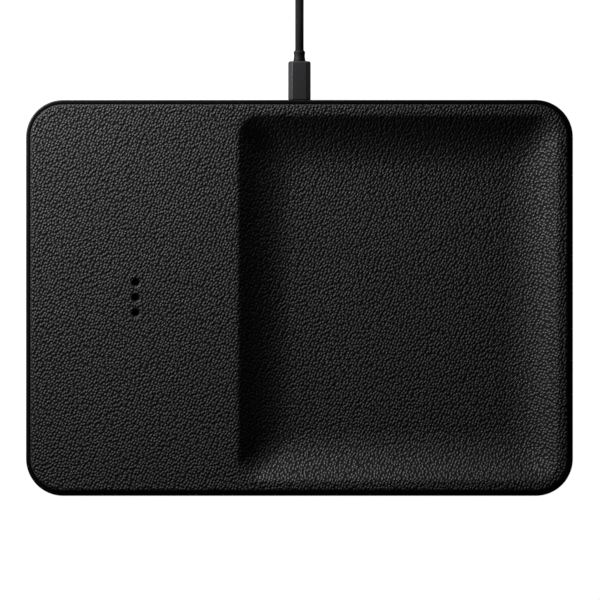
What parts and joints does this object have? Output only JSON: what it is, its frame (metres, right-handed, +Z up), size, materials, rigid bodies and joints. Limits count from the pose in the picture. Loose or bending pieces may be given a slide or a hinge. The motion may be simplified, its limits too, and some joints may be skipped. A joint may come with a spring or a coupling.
{
  "type": "wireless charging pad",
  "caption": "Flat rectangular charging pad in leather with a metal rim, a charging deck on one side, a deep soft-walled tray on the other and a braided cable that unplugs.",
  "frame": {"origin": "on the table, under the middle of the pad without its cable", "axes": "+X from the charging deck towards the tray, +Y towards the edge where the cable leaves, +Z up"},
  "size_m": [0.25, 0.3048, 0.018],
  "materials": {
    "leather": "black pebble-grain leather, semi-matt",
    "moulded_plastic": "black moulded ABS",
    "silicone": "matt black silicone",
    "anodised_aluminium": "black anodised, satin",
    "screw_steel": "zinc-plated steel",
    "socket_steel": "nickel-plated stamped steel",
    "socket_plastic": "black glass-filled nylon",
    "copper_wire": "enamelled copper wire",
    "ferrite": "dark grey sintered ferrite",
    "circuit_board": "green solder resist",
    "chip_resin": "black moulding resin",
    "capacitor_film": "amber film capacitor",
    "white_nylon": "off-white nylon",
    "clear_acrylic": "clear acrylic light pipe",
    "harness_sleeve": "black heat-shrink sleeve",
    "plug_plastic": "black moulded overmould, fine texture",
    "plug_steel": "nickel-plated steel",
    "braid": "black braided nylon",
    "tie_leather": "black leather strap",
    "stud_metal": "dark nickel press stud"
  },
  "bodies": {
    "pad": {"base_mat": "silicone", "base_plate": "moulded_plastic", "base_screw_1": "screw_steel", "base_screw_2": "screw_steel", "base_screw_3": "screw_steel", "base_screw_4": "screw_steel", "base_screw_5": "screw_steel", "base_screw_6": "screw_steel", "board_connector": "white_nylon", "board_screw_1": "screw_steel", "board_screw_2": "screw_steel", "bracket_screw_1": "screw_steel", "bracket_screw_2": "screw_steel", "bracket_screw_3": "screw_steel", "bracket_screw_4": "screw_steel", "charging_coil_back": "copper_wire", "charging_coil_front": "copper_wire", "charging_coil_middle": "copper_wire", "coil_bracket": "moulded_plastic", "coil_lead_back": "copper_wire", "coil_lead_front": "copper_wire", "coil_lead_middle": "copper_wire", "controller_chip": "chip_resin", "ferrite_sheet": "ferrite", "leather_cover": "leather", "light_pipe": "clear_acrylic", "main_board": "circuit_board", "metal_frame": "anodised_aluminium", "port_board": "circuit_board", "port_screw_1": "screw_steel", "port_screw_2": "screw_steel", "port_shell": "socket_steel", "port_tongue": "socket_plastic", "power_inductor": "ferrite", "resonance_capacitor_1": "capacitor_film", "resonance_capacitor_2": "capacitor_film", "resonance_capacitor_3": "capacitor_film", "status_led": "white_nylon", "thermistor": "chip_resin", "top_shell": "moulded_plastic", "wiring_harness": "harness_sleeve"},
    "cable": {"plug_grip": "plug_plastic", "plug_tip": "plug_steel", "plug_relief": "plug_plastic", "cord": "braid", "cord_coil": "braid", "cord_tie": "tie_leather", "tie_stud": "stud_metal", "cord_tail": "braid", "far_plug_grip": "plug_plastic", "far_plug_tip": "plug_steel", "far_plug_relief": "plug_plastic"}
  },
  "joints": [
    {"name": "cable_pull_out", "type": "slide", "parent": "pad", "child": "cable", "axis": [0, 1, 0], "range_m": [0, 0.012]}
  ]
}
